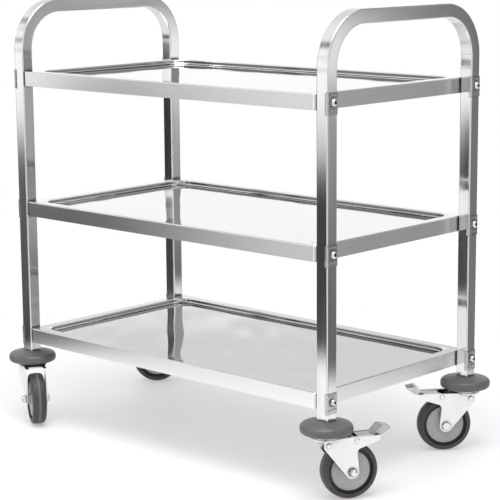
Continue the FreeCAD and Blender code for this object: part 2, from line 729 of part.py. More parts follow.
def swivel_seal():
    """The black dust seal between the upper race and the bumper."""
    body = new_body("swivel_seal")
    profile = new_sketch(body, "swivel_seal_profile", "XZ", outlines=[
        rectangle("seal_inner", "race_top", "seal_outer", "bumper_base")])
    revolve(body, profile, "V_Axis")
    return body


def dust_ring():
    """The soft ring that hugs the upper race of a castor without a brake."""
    body = new_body("dust_ring")
    profile = new_sketch(body, "dust_ring_profile", "XZ", outlines=[
        rectangle("race_radius", "crown_top + swivel_gap",
                  "dust_ring_outer", "bumper_base - dust_ring_gap")])
    revolve(body, profile, "V_Axis")
    return body


def ball_ring():
    """The balls that carry the crown under the upper race."""
    ball = doc.addObject("Part::Sphere", "swivel_ball")
    bind(ball, "Radius", "ball_radius")
    bind(ball, ".Placement.Base.x", "ball_circle")
    bind(ball, ".Placement.Base.z", "ball_height")
    balls = [place(f"swivel_ball_{i}", ball, turn=str(360 * i / BALL_COUNT))
             for i in range(BALL_COUNT)]
    ring = doc.addObject("Part::Compound", "ball_ring")
    ring.Links = balls
    return ring


# Castor: swivelling pieces

def fork(braked):
    """A folded sheet fork: round crown, two side plates, and arms for the brake if it has one."""
    name = "braked_fork" if braked else "plain_fork"
    body = new_body(name)
    side = [("-fork_front", "fork_shoulder"), ("trail", "wheel_radius", "fork_boss", True)]
    if braked:
        side += [("fork_throat_x", "fork_throat_z", "fork_throat_radius"),
                 ("arm_end - arm_bevel", "arm_end_low"), ("arm_end", "arm_end_low + arm_bevel"),
                 ("arm_end", "crown_top")]
    else:
        side += [("fork_heel", "crown_top")]
    side += [("-fork_front", "crown_top")]
    pad(body, new_sketch(body, name + "_side", "XZ", [side]), "2 * fork_front_half", symmetric=True)
    trim_flare(body, name)
    disc = new_sketch(body, name + "_crown", "XY", lift="crown_top",
                      circles=[("0", "0", "crown_radius")])
    pad(body, disc, "fork_gauge", backward=True)
    cut_wheel_gap(body, name)
    bore = new_sketch(body, name + "_bore", "XY", circles=[("0", "0", "kingpin_radius + kingpin_gap")])
    pocket(body, bore, symmetric=True)
    holes = [("trail", "wheel_radius", "axle_radius + plate_hole_gap")]
    if braked:
        holes += [("pivot_x", "pivot_z", "pivot_radius"),
                  ("-front_rivet_x", "front_rivet_z", "pivot_radius")]
    pocket(body, new_sketch(body, name + "_holes", "XZ", circles=holes), symmetric=True)
    return body


def trim_flare(body, name):
    """Trim the block outside the two side plates, which flare out ahead of the crease."""
    waste = [[("-fork_front", f"{sign}fork_front_half"), ("fork_crease", f"{sign}fork_rear_half"),
              ("arm_end + cut_margin", f"{sign}fork_rear_half"),
              ("arm_end + cut_margin", f"{sign}(fork_front_half + cut_margin)"),
              ("-fork_front", f"{sign}(fork_front_half + cut_margin)")] for sign in ("", "-")]
    waste[1].reverse()
    pocket(body, new_sketch(body, name + "_flare", "XY", waste), symmetric=True)


def cut_wheel_gap(body, name):
    """Hollow the fork for its wheel, below the crown and behind it between the arms' lips."""
    slope = "(fork_front_half - fork_rear_half) / (fork_crease + fork_front)"
    front = f"fork_front_half - fork_gauge + {slope} * (crown_radius + cut_margin - fork_front)"
    rear = "fork_rear_half - fork_gauge"
    gap = [("-(crown_radius + cut_margin)", f"-({front})"), ("fork_crease", f"-({rear})"),
           ("arm_end + cut_margin", f"-({rear})"), ("arm_end + cut_margin", rear),
           ("fork_crease", rear), ("-(crown_radius + cut_margin)", front)]
    room = new_sketch(body, name + "_room", "XY", [gap])
    pocket(body, room, "crown_top - fork_gauge", backward=True)
    opening = rectangle("crown_rear", "-arm_gap_half", "arm_end + cut_margin", "arm_gap_half")
    pocket(body, new_sketch(body, name + "_open", "XY", [opening]), symmetric=True)


def axle_bolt():
    """The hexagon bolt that clamps the bush between the side plates."""
    body = new_body("axle_bolt")
    head = new_sketch(body, "axle_bolt_head", "XZ", [hexagon("axle_flats")], lift="-fork_rear_half")
    pad(body, head, "axle_head", backward=True)
    shank = new_sketch(body, "axle_bolt_shank", "XZ", circles=[("0", "0", "axle_radius")],
                       lift="-fork_rear_half")
    pad(body, shank, "2 * fork_rear_half + axle_nut")
    return at_axle(body)


def axle_nut():
    """The domed nut on the axle bolt."""
    body = new_body("axle_nut")
    blank = new_sketch(body, "axle_nut_hexagon", "XZ", [hexagon("axle_flats")],
                       lift="fork_rear_half")
    pad(body, blank, "axle_nut")
    end = "-(fork_rear_half + axle_nut)"
    dome = new_sketch(body, "axle_nut_dome", "XY", outlines=[[
        ("0", f"{end} - axle_dome"),
        ("axle_dome_radius", f"{end} - axle_dome", "axle_dome_round"),
        ("axle_dome_radius", f"{end} + axle_nut / 2"), ("0", f"{end} + axle_nut / 2"),
    ]])
    revolve(body, dome, "V_Axis")
    bore = new_sketch(body, "axle_nut_bore", "XZ", lift="fork_rear_half",
                      circles=[("0", "0", "axle_radius + thread_gap")])
    pocket(body, bore, "axle_nut + axle_bore_spare", backward=True)
    return at_axle(body)


def at_axle(body):
    """Move a piece drawn about the axle to the axle's place in the castor."""
    bind(body, ".Placement.Base.x", "trail")
    bind(body, ".Placement.Base.z", "wheel_radius")
    return body


def bush():
    """The steel bush that the wheel turns on."""
    body = new_body("bush")
    half = "fork_rear_half - fork_gauge"
    profile = new_sketch(body, "bush_profile", "XY", outlines=[
        rectangle("axle_radius + axle_gap", f"-({half})", "bush_radius", half)])
    revolve(body, profile, "V_Axis")
    return at_axle(body)


# Castor: wheel

def mirrored(half_outline):
    """A closed outline from its half with negative Y, mirrored in the X axis."""
    upper = [(corner[0], f"-({corner[1]})") + tuple(corner[2:]) for corner in half_outline]
    return half_outline + upper[::-1]


def wheel_core():
    """The moulded wheel centre: hub and two flat discs."""
    body = new_body("wheel_core")
    profile = mirrored([
        ("bush_radius + bush_gap", "-hub_half"), ("hub_radius", "-hub_half", "hub_round"),
        ("hub_radius + hub_taper", "-core_half", "hub_fillet"),
        ("tyre_inner", "-core_half", "core_edge"),
    ])
    revolve(body, new_sketch(body, "wheel_core_profile", "XY", [profile]), "V_Axis")
    return at_axle(body)


def tyre():
    """The soft tyre: a groove beside the core, rounded shoulders and a flat centre band."""
    body = new_body("tyre")
    profile = mirrored([
        ("tyre_inner", "-groove_half"), ("groove_outer", "-groove_half"),
        ("groove_outer + groove_lean", "-tyre_half", "groove_round"),
        ("tyre_shoulder", "-tyre_half", "tyre_round"), ("wheel_radius", "-tread_band_half"),
    ])
    revolve(body, new_sketch(body, "tyre_profile", "XY", [profile]), "V_Axis")
    return at_axle(body)


# Castor: brake

def brake_pedal():
    """A sheet lever on the rear rivet: a tread plate with a curled end, two ears and a shoe."""
    body = new_body("brake_pedal")
    top = "pedal_plate_low + pedal_gauge"
    width, inner = "2 * pedal_half", "pedal_half - pedal_gauge"
    crest = ("pedal_crest_under_x", "pedal_crest_under_z", "pedal_crest_round")
    tip = ("pedal_tip_under_x", "pedal_tip_under_z")
    lever = [
        ("pedal_front", "pedal_plate_low"),
        ("pedal_curl_under_x", "pedal_plate_low", "pedal_curl_round + pedal_gauge"), crest, tip,
        ("pedal_tip_x", "pedal_tip_z"),
        ("pedal_crest_x", "pedal_crest_z", "pedal_crest_round + pedal_gauge"),
        ("pedal_curl_x", top, "pedal_curl_round"), ("pedal_front", top),
    ]
    pad(body, new_sketch(body, "brake_pedal_lever", "XZ", [lever]), width, symmetric=True)
    hollow = [("pedal_curl_under_x", "pedal_plate_low"), crest, tip,
              ("pedal_keel_x", "pedal_keel_z", "pedal_keel_round")]
    pad(body, new_sketch(body, "brake_pedal_end", "XZ", [hollow]), width, symmetric=True)
    pocket(body, new_sketch(body, "brake_pedal_hollow", "XZ", [hollow]), f"2 * ({inner})",
           symmetric=True)
    ears = [("pivot_x", "pivot_z", "pedal_ear", True), ("pedal_ear_rear", "pedal_ear_low"),
            ("pedal_ear_rear + pedal_ear_slope", top), ("pivot_x", top)]
    pad(body, new_sketch(body, "brake_pedal_ears", "XZ", [ears]), width, symmetric=True)
    front = "pivot_x - cut_margin"
    gap = rectangle(front, f"-({inner})", "pedal_ear_rear + pedal_ear_slope", inner)
    below = new_sketch(body, "brake_pedal_gap", "XY", [gap])
    pocket(body, below, "pedal_plate_low", backward=True)
    throat = rectangle(front, f"-({inner})", "pedal_front", inner)
    pocket(body, new_sketch(body, "brake_pedal_throat", "XY", [throat]), symmetric=True)
    shoe = rectangle("shoe_front", "shoe_low", "shoe_front + shoe_gauge",
                     "pedal_plate_low + pedal_gauge / 2")
    pad(body, new_sketch(body, "brake_pedal_shoe", "XZ", [shoe]), "2 * shoe_half", symmetric=True)
    hole = new_sketch(body, "brake_pedal_hole", "XZ",
                      circles=[("pivot_x", "pivot_z", "pivot_radius + pivot_gap")])
    pocket(body, hole, symmetric=True)
    return body


def brake_rivet(name, x, z):
    """A rivet across both side plates with a domed head at each end."""
    body = new_body(name)
    flare = "(fork_front_half - fork_rear_half) / (fork_crease + fork_front)"
    ahead = "(fork_crease + front_rivet_x + rivet_head)"
    plate = "fork_rear_half" if x == "pivot_x" else f"fork_rear_half + {flare} * {ahead}"
    profile = mirrored([
        ("0", f"-({plate} + rivet_head_height)"),
        ("rivet_head", f"-({plate} + rivet_head_height)", "rivet_head_round"),
        ("rivet_head", f"-({plate})"), ("pivot_radius", f"-({plate})"),
    ])
    revolve(body, new_sketch(body, name + "_profile", "XY", [profile]), "V_Axis")
    bind(body, ".Placement.Base.x", x)
    bind(body, ".Placement.Base.z", z)
    return body


def brake_rivets():
    """The pedal's pivot rivet and the rivet that holds the leaf spring."""
    pair = doc.addObject("Part::Compound", "brake_rivets")
    pair.Links = [brake_rivet("pivot_rivet", "pivot_x", "pivot_z"),
                  brake_rivet("front_rivet", "-front_rivet_x", "front_rivet_z")]
    return pair


def brake_leaf():
    """The flat leaf spring that lies on the front rivet, over the tyre."""
    body = new_body("brake_leaf")
    low = "front_rivet_z + pivot_radius"
    strip = rectangle("-leaf_front", low, "leaf_rear", f"{low} + leaf_gauge")
    pad(body, new_sketch(body, "brake_leaf_strip", "XZ", [strip]), "2 * leaf_half", symmetric=True)
    return body


# Castors on the trolley

def castors():
    """Four castors under the legs, each turned to its own resting direction."""
    single = {
        "bumper": bumper(), "kingpin": kingpin(), "axle_bolt": axle_bolt(),
        "axle_nut": axle_nut(), "bush": bush(), "wheel_core": wheel_core(), "tyre": tyre(),
    }
    forks = {True: fork(True), False: fork(False)}
    brake = {"brake_pedal": brake_pedal(), "brake_rivets": brake_rivets(),
             "brake_leaf": brake_leaf()}
    shared = {"leg_sockets": leg_socket(), "swivel_seals": swivel_seal(),
              "swivel_balls": ball_ring()}
    plain = {"dust_rings": dust_ring()}
    gathered = {name: [] for name in shared | plain}
    for name, x_sign, y_sign, braked in CASTORS:
        where = {"x": f"{x_sign} * {LEG_X}", "y": f"{y_sign} * {LEG_Y}"}
        turned = dict(where, turn=name + "_turn")
        for label, source in (shared if braked else shared | plain).items():
            gathered[label].append(place(f"{label}_{name}", source, **where))
        pieces = dict(single, fork=forks[braked], **(brake if braked else {}))
        for label, source in pieces.items():
            keep(f"{name}_{label}", place(f"{name}_{label}", source, **turned))
    for label, items in gathered.items():
        group(label, items)


# Checks and files

def check():
    """Stop if any object failed or any sub-part is empty or not a valid solid."""
    doc.recompute()
    for item in doc.Objects:
        if "Invalid" in item.State or "Error" in item.State:
            raise RuntimeError(f"{item.Label} failed: {item.State}")
    for name, item in parts.items():
        shape = item.Shape
        if shape.isNull() or not shape.isValid() or not shape.Solids:
            raise RuntimeError(f"{name} is not a valid solid")


def export():
    os.makedirs("parts", exist_ok=True)
    for name, item in parts.items():
        item.Shape.exportStep(f"parts/{name}.step")


fill_sheet()
for frame_side, frame_sign in SIDES:
    end_frame(frame_side + "_frame", frame_sign)
shelves()
tray_fixings()
castors()
check()
export()
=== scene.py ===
import json
import math

import bmesh
import bpy
from mathutils import Matrix, Vector

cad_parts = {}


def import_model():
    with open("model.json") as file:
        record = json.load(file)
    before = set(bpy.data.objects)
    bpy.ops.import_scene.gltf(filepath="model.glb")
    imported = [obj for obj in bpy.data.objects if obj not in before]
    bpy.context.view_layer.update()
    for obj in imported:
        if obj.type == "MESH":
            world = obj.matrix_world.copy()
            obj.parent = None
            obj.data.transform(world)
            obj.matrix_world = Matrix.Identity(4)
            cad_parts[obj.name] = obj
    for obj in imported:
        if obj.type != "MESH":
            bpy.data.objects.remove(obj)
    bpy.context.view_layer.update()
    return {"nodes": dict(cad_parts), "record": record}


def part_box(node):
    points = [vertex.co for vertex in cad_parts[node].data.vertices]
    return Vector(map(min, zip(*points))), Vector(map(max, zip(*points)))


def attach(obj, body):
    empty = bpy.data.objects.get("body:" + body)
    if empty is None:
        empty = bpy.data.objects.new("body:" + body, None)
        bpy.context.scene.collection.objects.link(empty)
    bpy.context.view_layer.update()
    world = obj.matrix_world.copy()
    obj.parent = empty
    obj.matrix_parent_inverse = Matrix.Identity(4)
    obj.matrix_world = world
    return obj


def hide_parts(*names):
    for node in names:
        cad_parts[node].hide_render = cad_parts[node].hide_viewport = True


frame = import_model()

# Lengths are metres, angles degrees. The trolley stands on the floor at z = 0.

# The frames, each one square tube: its side, corner radius and wall, and the bends of its centre
# line in the handle.
FRAME_LOW, FRAME_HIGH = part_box("right_frame")
TUBE = FRAME_HIGH.x - FRAME_LOW.x
TUBE_CORNER = 0.0025
TUBE_WALL = 0.0012
BEND_RADIUS = 0.0825
BEND_Y = FRAME_HIGH.y - TUBE / 2 - BEND_RADIUS
BEND_Z = FRAME_HIGH.z - TUBE / 2 - BEND_RADIUS
BEND_STEPS = 28
CORNER_STEPS = 6

# The trays, all alike: half their length and width, and the flat border round the sunk panel.
TRAY_LOW, TRAY_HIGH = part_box("middle_shelf")
TRAY_HALF = (TRAY_HIGH - TRAY_LOW) / 2
TRAY_BORDER = 0.020

# The wheels: the outer radius and half the width of the tyre and of the core, the hub's radius at
# the dish, its bore and half its length, and the tyre's bead and the rounded edges.
TREAD, TYRE_HALF = 0.050, 0.014
CORE_RIM, CORE_HALF = 0.035, 0.0115
HUB_FOOT, HUB_BORE, HUB_HALF = 0.0128, 0.0061, 0.0174
BEAD_HALF = 0.0085
SHOULDER_RADIUS = 0.005
CORE_EDGE_RADIUS = 0.0015
HUB_FILLET_RADIUS = 0.0018
LATHE_STEPS = 96
SHARP_ANGLE = 32
# On the tyre, the radii between which the groove, painted near-black as painted shade, turns into
# the side wall, and half the width of the scuffed band, where its edge fades and how far it frays.
GROOVE_END = (0.0398, 0.0412)
BAND_EDGE = (0.0028, 0.0036)
BAND_FRAY = 0.0016

# The camera: its place, its turn from +Y towards +X, its tilt down, its roll, and its lens in
# millimetres.
CAMERA_PLACE = (2.2071, -2.3586, 0.9575)
CAMERA_TURN = -42.782
CAMERA_TILT = 10.507
CAMERA_ROLL = -0.418
CAMERA_LENS = 124.42

# The floor and the lamp above it.
FLOOR_RADIUS = 0.85
FLOOR_FADE = 0.3
FLOOR_STEPS = 96
FLOOR_GLOW = 0.34
LAMP_PLACE = (0.5, -0.6, 2.6)
LAMP_TARGET = (0, 0, 0.3)
LAMP_SIZE = (1.8, 1.4)
LAMP_POWER = 46

# The studio. A sky is how bright the studio looks at each height above the horizon, seen in one
# direction. Directions are turns from +X towards +Y. FRONT_SKY is seen at FRONT_TURN, SIDE_SKY a
# quarter turn on from it, REAR_SKY opposite the front and BACK_SKY opposite the side.
FRONT_TURN = -133
FRONT_SKY = (
    (-90, 1.0), (-16, 1.05), (-14.9, 0.8), (-14.2, 0.3), (-13.6, 0.07), (-8.8, 0.06),
    (-8.1, 0.22), (-7.4, 0.7), (-6.5, 0.95), (-5.3, 1.25), (30, 1.2), (90, 0.9),
)
REAR_SKY = (
    (-90, 0.9), (-17, 0.7), (-15.5, 0.2), (-13.5, 0.15), (-11.8, 0.18), (-10.2, 0.26),
    (-8, 0.4), (-6.3, 0.52), (-5.2, 0.75), (-4.5, 1.15), (-3.4, 1.15), (-2.8, 0.7),
    (-2.4, 0.38), (4, 0.3), (12, 0.42), (30, 0.8), (90, 0.9),
)
BACK_SKY = (
    (-90, 0.9), (-5, 0.9), (0, 1.05), (11.5, 1.05), (13.3, 0.74), (15, 0.74), (17.5, 0.92),
    (45, 0.85), (90, 0.9),
)
SIDE_SKY = ((-90, 0.9), (-28, 0.6), (-20, 1.3), (20, 1.3), (35, 0.7), (90, 0.9))
# Where the skies blend, as shares of a direction that point their way: SKY_BLEND from a sky to the
# one opposite it, SIDE_BLEND from the front and rear to the side and back.
SKY_BLEND = (-0.3, 0.3)
SIDE_BLEND = (0.35, 0.85)
# Panels round the studio, each over the ones before it: turn, height, half size at full
# strength, half size where it ends, brightness.
PANELS = (
    (172, 5, 9, 17, 0.42),
    (94, 4, 9, 17, 0.3),
    (-138.6, 12, 3.4, 5.4, 0.05),
    (-141.5, 31, 3, 7.5, 0.05),
    (-163, 35.5, 2.5, 7.5, 0.3),
    (78, 38, 8, 18, 0.08),
    (-116, -6, 4.5, 9, 2.4),
    (-162, -8, 13, 20, 0.04),
    (-141.5, -9.8, 1.8, 4, 0.12),
    (-135.4, -6.3, 1.6, 4.3, 0.04),
    (-124.5, -8.2, 1.4, 2.8, 0.06),
    (62, -8, 9, 13.5, 0.22),
    (37.5, -5.5, 3.5, 6.5, 0.45),
    (2, -10, 4, 16, 0.32),
    (-90, -12, 5, 18, 0.3),
    (178, -12, 4, 17, 0.35),
    (-47, 20, 5, 21, 0.6),
    (-51, -6, 7, 11, 0.06),
    (-90, 17, 5, 19, 0.62),
    (2, 15, 5, 17, 0.62),
)


# ---------------------------------------------------------------- node helpers

# How open to its surroundings a point is, from 0 to 1, where the painted shade in a crevice is
# darkest and where it ends.
CREVICE_DARK, CREVICE_CLEAR = 0.4, 0.93


class Nodes:
    """Short calls that build the nodes of one node tree."""

    def __init__(self, tree):
        self.tree = tree
        self.place = None

    def add(self, kind, **settings):
        node = self.tree.nodes.new(kind)
        for name, value in settings.items():
            setattr(node, name, value)
        return node

    def feed(self, socket, value):
        if isinstance(value, bpy.types.NodeSocket):
            self.tree.links.new(value, socket)
        else:
            socket.default_value = value

    def math(self, operation, *values):
        node = self.add("ShaderNodeMath", operation=operation)
        for socket, value in zip(node.inputs, values):
            self.feed(socket, value)
        return node.outputs[0]

    def span(self, a, b):
        """The length of the vector with sides a and b."""
        return self.math("SQRT", self.math(
            "ADD", self.math("MULTIPLY", a, a), self.math("MULTIPLY", b, b)))

    def dot(self, vector, axis):
        node = self.add("ShaderNodeVectorMath", operation="DOT_PRODUCT")
        self.feed(node.inputs[0], vector)
        node.inputs[1].default_value = axis
        return node.outputs["Value"]

    def ramp(self, height, sky):
        """Brightness against height, from (angle above the horizon, brightness) pairs."""
        node = self.add("ShaderNodeValToRGB")
        self.feed(node.inputs[0], height)
        stops = node.color_ramp.elements
        while len(stops) < len(sky):
            stops.new(0.5)
        for stop, (angle, bright) in zip(stops, sky):
            stop.position = (math.sin(math.radians(angle)) + 1) / 2
            stop.color = (bright, bright, bright, 1)
        return node.outputs["Color"]

    def axes(self, vector=None):
        node = self.add("ShaderNodeSeparateXYZ")
        self.feed(node.inputs[0], vector or self.place)
        return node.outputs

    def facing(self):
        """The X, Y and Z shares of the surface's direction."""
        return self.axes(self.add("ShaderNodeNewGeometry").outputs["Normal"])

    def vector(self, x, y, z):
        node = self.add("ShaderNodeCombineXYZ")
        for socket, value in zip(node.inputs, (x, y, z)):
            self.feed(socket, value)
        return node.outputs[0]

    def stretch(self, scales, vector=None):
        node = self.add("ShaderNodeVectorMath", operation="MULTIPLY")
        self.feed(node.inputs[0], vector or self.place)
        node.inputs[1].default_value = scales
        return node.outputs[0]

    def noise(self, scale, detail=2.0, vector=None, distortion=0.0):
        node = self.add("ShaderNodeTexNoise")
        self.feed(node.inputs["Vector"], vector or self.place)
        node.inputs["Scale"].default_value = scale
        node.inputs["Detail"].default_value = detail
        node.inputs["Distortion"].default_value = distortion
        return node.outputs["Fac"]

    def cells(self, scale):
        node = self.add("ShaderNodeTexVoronoi")
        self.feed(node.inputs["Vector"], self.place)
        node.inputs["Scale"].default_value = scale
        return node.outputs["Distance"]

    def between(self, value, low, high, new_low=0.0, new_high=1.0):
        """Runs smoothly from new_low to new_high while value goes from low to high."""
        node = self.add("ShaderNodeMapRange", interpolation_type="SMOOTHSTEP")
        self.feed(node.inputs["Value"], value)
        node.inputs["From Min"].default_value = low
        node.inputs["From Max"].default_value = high
        self.feed(node.inputs["To Min"], new_low)
        self.feed(node.inputs["To Max"], new_high)
        return node.outputs["Result"]

    def blend(self, share, first, second):
        node = self.add("ShaderNodeMix", data_type="RGBA")
        self.feed(node.inputs["Factor"], share)
        for socket, colour in ((node.inputs[6], first), (node.inputs[7], second)):
            self.feed(socket, (*colour, 1) if isinstance(colour, tuple) else colour)
        return node.outputs[2]

    def bump(self, height, strength, distance, normal=None):
        node = self.add("ShaderNodeBump")
        node.inputs["Strength"].default_value = strength
        node.inputs["Distance"].default_value = distance
        self.feed(node.inputs["Height"], height)
        if normal:
            self.feed(node.inputs["Normal"], normal)
        return node.outputs["Normal"]

    def crevice(self, reach):
        """0 where other surfaces crowd in within reach, 1 in the open. The materials paint shade by
        it.
        """
        node = self.add("ShaderNodeAmbientOcclusion", samples=6)
        node.inputs["Distance"].default_value = reach
        return self.between(node.outputs["AO"], CREVICE_DARK, CREVICE_CLEAR)


class Finish(Nodes):
    """A material and its nodes, laid out in the object's own coordinates.

    The plain colour and roughness hold where no node feeds them.
    """

    def __init__(self, name, colour, metallic, roughness):
        self.material = bpy.data.materials.new(name)
        self.material.use_nodes = True
        super().__init__(self.material.node_tree)
        self.shader = self.tree.nodes["Principled BSDF"]
        self.shader.inputs["Base Color"].default_value = (*colour, 1)
        self.shader.inputs["Metallic"].default_value = metallic
        self.shader.inputs["Roughness"].default_value = roughness
        self.place = self.add("ShaderNodeTexCoord").outputs["Object"]

    def colour(self, value):
        self.feed(self.shader.inputs["Base Color"], value)

    def roughness(self, value):
        self.feed(self.shader.inputs["Roughness"], value)

    def normal(self, value):
        self.feed(self.shader.inputs["Normal"], value)


# ------------------------------------------------------------------- materials


def tube_steel():
    """Bright stainless tube, brushed along its length and hazed where the handle bends."""
    nodes = Finish("tube_steel", (0.72, 0.72, 0.73), 1, 0.14)
    x, y, z = nodes.axes()
    side = nodes.math("SUBTRACT", nodes.math("ABSOLUTE", y), BEND_Y)
    rise = nodes.math("SUBTRACT", z, BEND_Z)
    outward = nodes.math("MAXIMUM", side, 0)
    upward = nodes.math("MAXIMUM", rise, 0)
    across = nodes.span(outward, upward)
    turn = nodes.math("MULTIPLY", nodes.math("ARCTAN2", upward, outward), BEND_RADIUS)
    straight = nodes.math(
        "SUBTRACT", nodes.math("MINIMUM", rise, 0), nodes.math("MINIMUM", side, 0))
    along = nodes.math("ADD", turn, straight)
    run = nodes.vector(x, across, along)
    grain = nodes.noise(1, 3, nodes.stretch((1500, 1500, 10), run))
    smear = nodes.noise(1, 3, nodes.stretch((45, 45, 5), run), 0.4)
    shade = nodes.between(smear, 0.3, 0.75)
    open_steel = nodes.blend(shade, (0.72, 0.72, 0.73), (0.80, 0.80, 0.805))
    # Painted shade: the tube goes near-black where other parts crowd in within 8 mm.
    nodes.colour(nodes.blend(nodes.crevice(0.008), (0.05, 0.05, 0.052), open_steel))
    endways = nodes.math("ABSOLUTE", nodes.facing()[0])
    bent = nodes.between(nodes.math("MINIMUM", side, rise), -0.012, 0.004, 0.0, 0.12)
    drawn = nodes.math("MULTIPLY", bent, nodes.between(endways, 0.3, 0.8, 1.0, 0.0))
    haze = nodes.math("ADD", nodes.between(smear, 0.3, 0.75, 0.04, 0.07),
                      nodes.between(grain, 0.2, 0.8, 0, 0.03))
    nodes.roughness(nodes.math("ADD", haze, drawn))
    nodes.normal(nodes.bump(grain, 0.02, 0.0002, nodes.bump(smear, 0.025, 0.0006)))
    return nodes.material


def tray_sheet():
    """Polished sheet: brushed along the rims, with painted shade on the walls where the panel is
    drawn in.

    The flat is a mirror, with the long shallow waves of rolled sheet on the sunk floor.
    """
    nodes = Finish("tray_sheet", (0.8, 0.8, 0.805), 1, 0.1)
    x, y, z = nodes.axes()
    facing = nodes.facing()
    endways = nodes.math("ABSOLUTE", facing[0])
    up = nodes.math("ABSOLUTE", facing[2])
    flat = nodes.between(up, 0.5, 0.95)
    inset = nodes.math(
        "MINIMUM", nodes.math("SUBTRACT", TRAY_HALF.x, nodes.math("ABSOLUTE", x)),
        nodes.math("SUBTRACT", TRAY_HALF.y, nodes.math("ABSOLUTE", y)))
    steep = nodes.between(up, 0.15, 0.6, nodes.between(endways, 0.3, 0.8, 1.0, 0.4), 0.0)
    well = nodes.between(inset, TRAY_BORDER - 0.004, TRAY_BORDER - 0.002)
    drawn = nodes.math("MULTIPLY", well, steep)
    run = nodes.vector(nodes.math("ADD", x, y), nodes.math("SUBTRACT", x, y), z)
    grain = nodes.noise(1, 2, nodes.stretch((5, 5, 2200), run))
    cloud = nodes.noise(7, 4, None, 0.4)
    haze = nodes.between(cloud, 0.35, 0.7, 0.025, 0.06)
    rubbed = nodes.between(x, -TRAY_HALF.x, TRAY_HALF.x, 0.12, 0.27)
    brushed = nodes.math("ADD", rubbed, nodes.between(grain, 0.25, 0.75, 0, 0.03))
    polished = nodes.math("MAXIMUM", flat, nodes.between(inset, 0.004, 0.008))
    nodes.roughness(nodes.between(polished, 0, 1, brushed, haze))
    unshaded = nodes.blend(cloud, (0.77, 0.77, 0.78), (0.84, 0.84, 0.845))
    # Painted shade: the walls of the sunk panel are darkened, and the colour goes near-black in
    # crevices.
    walls_shaded = nodes.blend(drawn, unshaded, (0.15, 0.15, 0.152))
    nodes.colour(nodes.blend(nodes.crevice(0.006), (0.05, 0.05, 0.052), walls_shaded))
    sunk = nodes.between(inset, TRAY_BORDER, TRAY_BORDER + 0.008)
    rolled = nodes.vector(nodes.dot(nodes.place, (0.73, 0.68, 0)),
                          nodes.dot(nodes.place, (0.68, -0.73, 0)), z)
    wave = nodes.math("MULTIPLY", nodes.noise(1, 0, nodes.stretch((22, 6, 20), rolled)), sunk)
    nodes.normal(nodes.bump(wave, 0.5, 0.003))
    return nodes.material


def pressed_steel():
    """Thin pressed stainless: fine drawing marks, softly hazed, with painted shade in its folds."""
    nodes = Finish("pressed_steel", (0.5, 0.5, 0.51), 1, 0.25)
    marks = nodes.noise(1, 3, nodes.stretch((900, 900, 60)))
    haze = nodes.noise(60, 3)
    # Painted shade: near-black in its folds and where other parts press close.
    nodes.colour(nodes.blend(nodes.crevice(0.003), (0.04, 0.04, 0.042), (0.52, 0.52, 0.53)))
    nodes.roughness(nodes.between(haze, 0.3, 0.7, 0.18, 0.3))
    nodes.normal(nodes.bump(marks, 0.08, 0.0003))
    return nodes.material


def bright_bolt():
    """Plated fasteners: small bright parts with light handling marks and painted shade round their
    seat.
    """
    nodes = Finish("bright_bolt", (0.72, 0.72, 0.73), 1, 0.14)
    marks = nodes.noise(420, 3)
    # Painted shade: near-black where the bolt seats against other parts.
    nodes.colour(nodes.blend(nodes.crevice(0.004), (0.03, 0.03, 0.032), (0.76, 0.76, 0.77)))
    nodes.roughness(nodes.between(marks, 0.3, 0.7, 0.08, 0.2))
    nodes.normal(nodes.bump(marks, 0.08, 0.0002))
    return nodes.material


def bright_zinc():
    """Zinc-plated pressing: pale, faintly cloudy, with a fine crystalline sparkle."""
    nodes = Finish("bright_zinc", (0.8, 0.8, 0.79), 1, 0.2)
    cloud = nodes.noise(30, 3, None, 0.3)
    crystal = nodes.cells(900)
    shade = nodes.between(cloud, 0.3, 0.75)
    unshaded = nodes.blend(shade, (0.76, 0.76, 0.755), (0.82, 0.82, 0.81))
    # Painted shade: softly darker within 35 mm of other parts, and near-black in tight crevices.
    shaded = nodes.blend(nodes.crevice(0.035), (0.45, 0.45, 0.445), unshaded)
    nodes.colour(nodes.blend(nodes.crevice(0.007), (0.04, 0.04, 0.04), shaded))
    nodes.roughness(nodes.math("ADD", nodes.between(cloud, 0.3, 0.7, 0.14, 0.2),
                               nodes.between(crystal, 0, 0.8, 0, 0.05)))
    nodes.normal(nodes.bump(crystal, 0.04, 0.0002))
    return nodes.material


def satin_zinc():
    """The foot pedal's duller plating, rubbed by shoes, with painted shade darkening its corners.
    """
    nodes = Finish("satin_zinc", (0.5, 0.5, 0.495), 1, 0.28)
    rub = nodes.noise(60, 3, None, 0.6)
    shade = nodes.between(rub, 0.3, 0.75)
    unshaded = nodes.blend(shade, (0.42, 0.42, 0.415), (0.6, 0.6, 0.595))
    # Painted shade: near-black in the pedal's corners and where other parts crowd close.
    nodes.colour(nodes.blend(nodes.crevice(0.012), (0.02, 0.02, 0.02), unshaded))
    nodes.roughness(nodes.between(rub, 0.3, 0.7, 0.15, 0.26))
    nodes.normal(nodes.bump(nodes.noise(900, 2), 0.05, 0.0002))
    return nodes.material


def mottle(nodes, scale, detail, dark, light, sheen):
    """Unpolished steel: a mottled tone, and a roughness that runs over the sheen."""
    spots = nodes.noise(scale, detail)
    nodes.roughness(nodes.between(spots, 0.3, 0.7, *sheen))
    nodes.colour(nodes.blend(spots, dark, light))


def plain_steel():
    """Unpolished steel plate under the trays."""
    nodes = Finish("plain_steel", (0.5, 0.5, 0.51), 1, 0.38)
    mottle(nodes, 120, 4, (0.42, 0.42, 0.43), (0.58, 0.58, 0.59), (0.3, 0.46))
    return nodes.material


def spring_steel():
    """Dark tempered spring steel."""
    nodes = Finish("spring_steel", (0.12, 0.12, 0.13), 1, 0.35)
    mottle(nodes, 150, 3, (0.09, 0.09, 0.1), (0.2, 0.19, 0.19), (0.28, 0.42))
    return nodes.material


